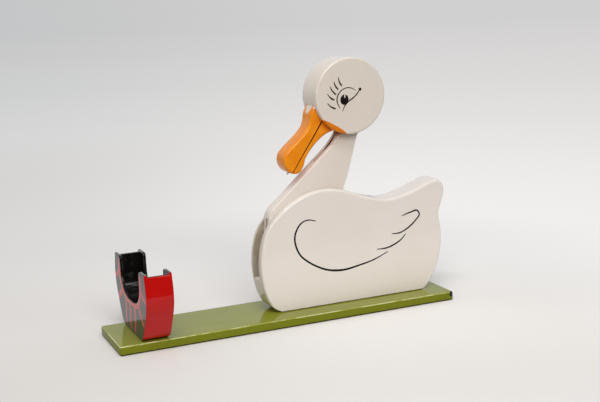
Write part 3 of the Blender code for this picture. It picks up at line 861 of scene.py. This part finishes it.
def make_neck():
    """The neck's two halves glued into one, with its outer edges rounded."""
    build = bmesh.new()
    for node in ("neck_near_half", "neck_far_half"):
        build.from_mesh(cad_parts[node].data)
    bmesh.ops.remove_doubles(build, verts=build.verts, dist=0.00001)
    seam = [f for f in build.faces if all(abs(v.co.y) < SEAM for v in f.verts)]
    bmesh.ops.delete(build, geom=seam, context="FACES_ONLY")
    for vert in build.verts:
        if abs(vert.co.y) < SEAM:
            vert.co.y = 0.0
    bmesh.ops.remove_doubles(build, verts=build.verts, dist=0.00003)
    turn_out(build)
    bmesh.ops.dissolve_limit(build, angle_limit=math.radians(0.6), verts=build.verts,
                             edges=build.edges)

    def on_cap(edge):
        return all(abs(abs(v.co.y) - NECK_HALF * MM) < 0.00001 for v in edge.verts)

    def is_bore(edge):
        centre = (edge.verts[0].co + edge.verts[1].co) / 2 / MM
        spot = (centre.x, centre.z)
        return (math.dist(spot, NECK_PIVOT) < NECK_FOOT_REACH
                or math.dist(spot, HEAD_PIVOT) < HEAD_BORE_REACH)

    rims = []
    for edge in build.edges:
        if len(edge.link_faces) != 2 or not on_cap(edge) or is_bore(edge):
            continue
        if edge.calc_face_angle(0.0) > math.radians(60):
            rims.append(edge)
    bmesh.ops.bevel(build, geom=rims, offset=NECK_ROUNDING * MM, segments=5, profile=0.5,
                    affect="EDGES", clamp_overlap=True)
    finish_piece("neck", mesh_of(build, "neck"), "neck", neck_material(),
                 ("neck_near_half", "neck_far_half"), sharp=36.0)


# ---------------------------------------------------------------- board and holder

BOARD_CORNER, BOARD_ROUNDING = 1.8, 1.5
SCREW_HEAD = 1.1
COUNTERSINK = 1.9
HOLDER_ROUNDING, TROUGH_SOFTNESS = 0.6, 0.8
FLANK_TOP, UNDER_NOTCH, OUTSIDE_NOTCH = 57, 20, 29.9  # heights are above the board
RED, BLACK = 0, 1


def hole_cutter(node):
    """A countersunk screw hole in the underside, as a solid."""
    wide = (limit(node, HIGH, X) - limit(node, LOW, X)) / 2 + 0.3
    narrow = wide - COUNTERSINK
    build = bmesh.new()
    rings = []
    for z, radius in ((-1.0, wide), (SCREW_HEAD, wide), (SCREW_HEAD + COUNTERSINK, narrow),
                      (DECK + 1.0, narrow)):
        circle = arc(middle(node), radius, 0, CIRCLE)
        rings.append([build.verts.new(place(p, z, Z)) for p in circle])
    capped(build, rings)
    turn_out(build)
    return in_scene("hole", mesh_of(build, "hole"))


def make_board():
    """Board with rounded edges and countersunk holes in its underside."""
    low, high = (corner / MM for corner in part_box("base_board"))
    left, right = low.x + BOARD_CORNER, high.x - BOARD_CORNER
    front, back = low.y + BOARD_CORNER, high.y - BOARD_CORNER
    outline = []
    for centre, start in (((right, back), 0), ((left, back), 90), ((left, front), 180),
                          ((right, front), 270)):
        outline += arc(centre, BOARD_CORNER, start, QUARTER)
    mesh = slab("board", outline, low.z, high.z, Z, BOARD_ROUNDING)
    board = finish_piece("board", mesh, "stand", green_material(),
                         ("base_board",))
    cutters = [hole_cutter(node) for node in ("holder_screw_near", "holder_screw_far",
                                              "body_screw_front", "body_screw_rear")]
    for cutter in cutters:
        cut = board.modifiers.new("hole", "BOOLEAN")
        cut.object = cutter
        cut.solver = "EXACT"
    graph = bpy.context.evaluated_depsgraph_get()
    drilled = bpy.data.meshes.new_from_object(board.evaluated_get(graph))
    board.modifiers.clear()
    board.data = drilled
    shade(drilled)
    for cutter in cutters:
        bpy.data.objects.remove(cutter)


def on_flank(p):
    """Whether a point of the holder's outline is on its outer curve."""
    return p[1] < DECK + FLANK_TOP and (abs(p[0]) > OUTSIDE_NOTCH or p[1] < DECK + UNDER_NOTCH)


def make_holder():
    outline = soften(smooth_outline("holder_front_side", X), on_flank, 50)
    path = slot_path(flat_outline("holder_trough", X), outline, (0.0, DECK + 40.0))
    mesh = slab("holder", outline, HOLDER_LOW, HOLDER_HIGH, X, HOLDER_ROUNDING, path,
                (HOLDER_LOW + HOLDER_SIDE, HOLDER_HIGH - HOLDER_SIDE), TROUGH_SOFTNESS,
                lambda p: 0.3 + 0.7 * rising(p[1], DECK, 4))
    finish_piece("holder", mesh, "stand", red_material(),
                 ("holder_front_side", "holder_rear_side", "holder_trough"))
    mesh.materials.append(black_material())
    flanks = [p for p in outline if on_flank(p)]
    for face in mesh.polygons:
        spot = (face.center.y / MM, face.center.z / MM)
        outside = min(math.dist(spot, p) for p in flanks) < 2.4
        turned_out = face.normal.y * spot[0] > 0.2 * abs(spot[0]) or face.normal.z < -0.5
        is_red = outside and turned_out and abs(face.normal.x) <= 0.95
        face.material_index = RED if is_red else BLACK


# ---------------------------------------------------------------- painted lines

# Points along each stroke, seen from the side, and its widths from end to end
WING = (
    (((26.3, 83.7), (19.9, 85.4), (13.2, 83.7), (8.4, 78.1), (6.2, 71.1), (7.2, 63.6),
      (10.8, 55.8), (18.5, 48.6), (27.6, 43.0), (35.5, 39.6), (51.7, 37.3), (66.9, 39.4),
      (80.9, 42.3), (95.8, 48.0)), (0.9, 1.7, 1.9, 1.8, 1.9, 2.2, 1.9, 1.5, 0.8)),
    (((84.6, 51.3), (93.7, 51.3), (103.7, 54.2), (109.5, 57.4), (113.9, 61.9)),
     (0.8, 1.5, 1.7, 1.5, 0.9)),
    (((99.6, 63.4), (108.2, 63.5), (116.8, 67.3), (124.1, 72.9), (128.1, 78.1), (125.7, 81.7),
      (120.0, 81.0), (109.9, 78.4)), (0.8, 1.4, 1.6, 1.6, 1.5, 1.7, 1.4, 0.8)),
)
LASHES = (
    ((47.1, 178.1), (39.3, 183.4)),
    ((46.0, 185.6), (39.6, 191.2)),
    ((47.9, 190.1), (42.1, 197.3)),
    ((49.9, 194.1), (45.9, 201.5)),
    ((53.4, 196.9), (50.3, 204.6)),
)
UPPER_LID = ((51.2, 178.3), (48.6, 184.1), (49.2, 188.8), (52.2, 192.8), (56.4, 194.9),
             (61.7, 194.9), (66.4, 192.4))
LOWER_LID = ((70.5, 193.3), (65.6, 187.7), (63.6, 186.3), (58.8, 183.3), (55.9, 180.5),
             (53.4, 175.8))
PUPIL = (55.5, 185.4)
GLINT = ((PUPIL[0] + 0.5, PUPIL[1] + 4.6), (PUPIL[0] + 0.3, PUPIL[1] + 1.2))
MOUTH = ((36.6, 168.6), (27.5, 155.0), (17.6, 141.0), (8.1, 126.9))
# On the holder's faces, with heights above the board
PETAL_LINES = (
    (((46.9, 37.9), (39.1, 41.0), (34.0, 45.2)), (4.0, 4.4, 5.4)),
    (((39.4, 20.2), (37.0, 22.0), (26.0, 30.0)), (5.0, 5.2, 6.8)),
    (((18.2, 3.0), (16.4, 14.5), (15.5, 24.5)), (5.2, 5.0, 5.2, 8.0)),
    (((4.8, 1.8), (3.3, 14.0), (3.4, 23.4)), (5.0, 4.8, 5.0, 8.0)),
    (((-7.2, 1.8), (-11.3, 12.5), (-10.8, 25.0)), (5.0, 4.8, 5.0, 8.0)),
    (((-35.6, 14.4), (-28.0, 22.8), (-22.0, 31.2)), (4.0, 4.6, 5.4, 8.0)),
    (((-46.6, 36.0), (-38.2, 39.6), (-31.5, 44.6)), (3.8, 4.6, 6.4)),
)
NOTCH_WIDTHS = (5.6, 6.2, 5.4, 4.0, 3.2, 4.0, 5.4, 6.2, 5.6)
NOTCH_HALF, NOTCH_LOW, NOTCH_HIGH, NOTCH_CENTRE = 29.5, 25, 55, 56.0
THIN = 0.06  # height of the thinner strokes


def bowed(points, rise):
    """A short stroke's two ends with its middle pushed to one side."""
    start, end = Vector(points[0]), Vector(points[-1])
    along = (end - start).normalized()
    return (points[0], tuple((start + end) / 2 + Vector((-along.y, along.x)) * rise), points[-1])


def notch_line():
    """A line just outside the notch, from one side of the holder to the other."""
    centre = Vector((0.0, DECK + NOTCH_CENTRE))
    line = []
    for p in sorted(flat_outline("holder_front_side", X), key=lambda p: p[0]):
        if abs(p[0]) < NOTCH_HALF and DECK + NOTCH_LOW < p[1] < DECK + NOTCH_HIGH:
            away = (Vector(p) - centre).normalized()
            line.append(tuple(Vector(p) + away * (1.9 + 1.6 * abs(away.x))))
    return line


def draw_wing(build, side):
    for points, widths in WING:
        ribbon(build, points, widths, side * BODY_HALF, side)


def draw_eye(build, side):
    level = side * HEAD_HALF
    for points in LASHES:
        ribbon(build, bowed(points, 0.7), (1.7, 1.5, 1.1, 0.6), level, side)
    ribbon(build, UPPER_LID, (0.7, 1.2, 1.0, 0.9, 0.5), level, side)
    ribbon(build, LOWER_LID, (1.0, 1.2, 1.3, 1.2, 0.6), level, side)
    dab(build, LOWER_LID[0], 1.35, level, side)
    dab(build, PUPIL, 3.9, level, side, stretch=1.16, lean=-8)


def draw_glint(build, side):
    ribbon(build, GLINT, (1.3, 1.3, 1.1), side * (HEAD_HALF + 0.1), side)


def draw_mouth(build, side):
    ribbon(build, MOUTH, (1.5, 1.2, 1.0, 0.8), side * BEAK_HALF, side, THIN)


def draw_petals(build, side):
    level = HOLDER_LOW if side < 0 else HOLDER_HIGH
    for points, widths in PETAL_LINES:
        ribbon(build, [(y, z + DECK) for y, z in points], widths, level, side, THIN, axis=X)
    ribbon(build, notch_line(), NOTCH_WIDTHS, level, side, 0.07, axis=X)


def make_marks():
    black = line_material("line_black", colour(24, 20, 18), colour(40, 34, 30))
    white = line_material("line_white", colour(226, 216, 204), colour(216, 206, 192))
    brown = line_material("mouth_brown", colour(58, 18, 8), colour(80, 26, 8))
    red = line_material("petal_red", colour(196, 30, 26), colour(180, 24, 22))
    paint_piece("wing_lines", draw_wing, "stand", black)
    paint_piece("eye_lines", draw_eye, "head", black)
    paint_piece("eye_glint", draw_glint, "head", white)
    paint_piece("mouth_line", draw_mouth, "head", brown)
    paint_piece("holder_lines", draw_petals, "stand", red)


def finish_metal():
    """Metal on the screws, pins, rod and needle."""
    steel, brass = steel_material(), brass_material()
    for name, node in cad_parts.items():
        if node.hide_render:
            continue
        node.data.materials.clear()
        node.data.materials.append(brass if "screw" in name else steel)
        weld = node.modifiers.new("weld", "WELD")
        weld.merge_threshold = 0.000005


# ---------------------------------------------------------------- stage, light and camera

STAGE_RADIUS = 60.0
FLOOR_EDGE = -0.23  # the white sheet ends here, in front of the object
DEEPER, RIGHTWARD = (0.403, 0.915), (0.915, -0.403)  # ways along the floor

# Colour that the camera sees by distance from the object, in metres: painted shade, darker far
# off
BACKDROP = ((0.3, colour(243, 241, 239)), (0.65, colour(239, 237, 235)),
            (1.1, colour(232, 230, 229)), (1.6, colour(226, 224, 223)),
            (2.6, colour(219, 218, 217)), (5.0, colour(214, 212, 212)),
            (10.0, colour(209, 208, 208)))
WARM = (1.0, 0.985, 0.965)
COOL = (0.95, 0.965, 1.0, 1.0)


def floor_bearings(nodes, x, y):
    """A floor place's distance from the object, its depth, and 1 where it is to the left."""
    depth, rightward = (nodes.plus(nodes.times(x, way[0]), nodes.times(y, way[1]))
                        for way in (DEEPER, RIGHTWARD))
    distance = nodes.length(x, y)
    bearing = nodes.maths("DIVIDE", rightward, nodes.plus(distance, 0.7))
    return distance, depth, nodes.fade(bearing, -0.34, 0.12)


def backdrop_tone(nodes, x, y):
    """Colour of the pale backdrop, with painted shade: darker to the left, in front and far off.
    """
    distance, depth, left = floor_bearings(nodes, x, y)
    tone = BACKDROP[0][1]
    for (near, _), (far, tint) in zip(BACKDROP, BACKDROP[1:]):
        tone = nodes.blend(nodes.span(distance, near, far, kind="LINEAR"), tone, tint)
    dim = nodes.mottle(distance, 0.7, 1.6, (0.79, 0.79, 0.785, 1.0), (0.87, 0.89, 0.90, 1.0))
    tone = nodes.blend(left, tone, dim, "MULTIPLY")
    front = nodes.times(nodes.fade(depth, -0.25, 0.05), nodes.fade(distance, 0.4, 1.5))
    return nodes.blend(front, tone, (0.90, 0.90, 0.90, 1.0), "MULTIPLY")


def make_stage():
    """Pale sheet that runs out into the backdrop's own colour."""
    build = bmesh.new()
    bmesh.ops.create_circle(build, cap_ends=True, segments=96, radius=STAGE_RADIUS)
    floor = in_scene("stage", mesh_of(build, "stage"))
    paint = Paint("stage_paper")
    axes = paint.axes()
    distance, depth, left = floor_bearings(paint, axes[0], axes[1])
    base = paint.blend(paint.noise(2.5, 2.0), colour(234, 231, 227), colour(238, 235, 231))
    # Painted shade and light on the sheet: darker in front and to the left, paler behind.
    base = paint.blend(paint.fade(depth, -0.20, 0.0), base, colour(223, 220, 216))
    base = paint.blend(paint.span(depth, 0.0, 0.22), base, colour(247, 245, 242))
    base = paint.blend(left, base, (0.885, 0.88, 0.875, 1.0), "MULTIPLY")
    seen = paint.node("ShaderNodeLightPath", "Is Camera Ray")
    sheet = paint.span(axes[1], FLOOR_EDGE - 0.01, FLOOR_EDGE + 0.01)
    base = paint.blend(paint.maths("MAXIMUM", seen, sheet), colour(40, 40, 42), base)
    floor.data.materials.append(paint.set(base=base, roughness=0.9))
    glow = paint.node("ShaderNodeEmission", 0, {"Color": backdrop_tone(paint, axes[0], axes[1])})
    share = paint.times(seen, paint.span(distance, 0.22, 0.5))
    mix = paint.node("ShaderNodeMixShader", 0, {0: share, 1: paint.shader.outputs[0], 2: glow})
    paint.put(mix, paint.tree.nodes["Material Output"].inputs["Surface"])


def area_light(name, location, target, size, power):
    light = bpy.data.lights.new(name, "AREA")
    light.shape = "RECTANGLE"
    light.size, light.size_y = size
    light.energy = power
    light.color = WARM
    lamp = in_scene(name, light)
    lamp.location = location
    lamp.rotation_euler = (Vector(target) - Vector(location)).to_track_quat("-Z", "Y").to_euler()


def make_light():
    area_light("softbox", (-0.26, -0.49, 1.2), (0.0, 0.0, 0.05), (0.6, 0.14), 4.5)
    area_light("fill", (-0.35, -1.45, 1.25), (0.0, 0.0, 0.1), (1.5, 1.0), 22.3)
    world = bpy.data.worlds.new("studio")
    bpy.context.scene.world = world
    world.use_nodes = True
    nodes = Nodes(world.node_tree, "Generated")
    axes = nodes.axes()
    # White walls at the sides and back; a dark room low down in front
    level = nodes.span(axes[2], 0.1, 0.9, 0.78, 0.43)
    front = nodes.times(nodes.fade(axes[1], -0.5, -0.2), nodes.fade(axes[2], 0.3, 0.5))
    level = nodes.times(level, nodes.minus(1.0, nodes.times(front, 0.9)))
    level = nodes.times(level, nodes.span(axes[0], -0.9, 0.1, 0.8, 1.0))
    room = nodes.node("ShaderNodeBackground", 0, {"Color": COOL, "Strength": level})
    far_x, far_y = (nodes.times(axes[i], STAGE_RADIUS) for i in (0, 1))
    backdrop = nodes.node("ShaderNodeBackground", 0,
                          {"Color": backdrop_tone(nodes, far_x, far_y)})
    seen = nodes.node("ShaderNodeLightPath", "Is Camera Ray")
    mix = nodes.node("ShaderNodeMixShader", 0, {0: seen, 1: room, 2: backdrop})
    nodes.put(mix, nodes.tree.nodes["World Output"].inputs[0])
    nodes.tree.nodes.remove(nodes.tree.nodes["Background"])


def make_camera():
    data = bpy.data.cameras.new("camera")
    data.lens = 61.97
    data.sensor_width = 36.0
    data.clip_start, data.clip_end = 0.01, 200.0
    camera = in_scene("camera", data)
    camera.location = (-0.3322, -0.7949, 0.2693)
    heading, pitch, roll = (math.radians(angle) for angle in (-23.75, 78.98, -2.03))
    turn = (Euler((0, 0, heading)).to_matrix() @ Euler((pitch, 0, 0)).to_matrix()
            @ Euler((0, 0, roll)).to_matrix())
    camera.rotation_euler = turn.to_euler()
    bpy.context.scene.camera = camera
    bpy.context.scene.view_settings.view_transform = "Standard"


make_board()
make_holder()
make_body()
make_neck()
make_head()
make_beak()
make_marks()
finish_metal()
make_stage()
make_light()
make_camera()
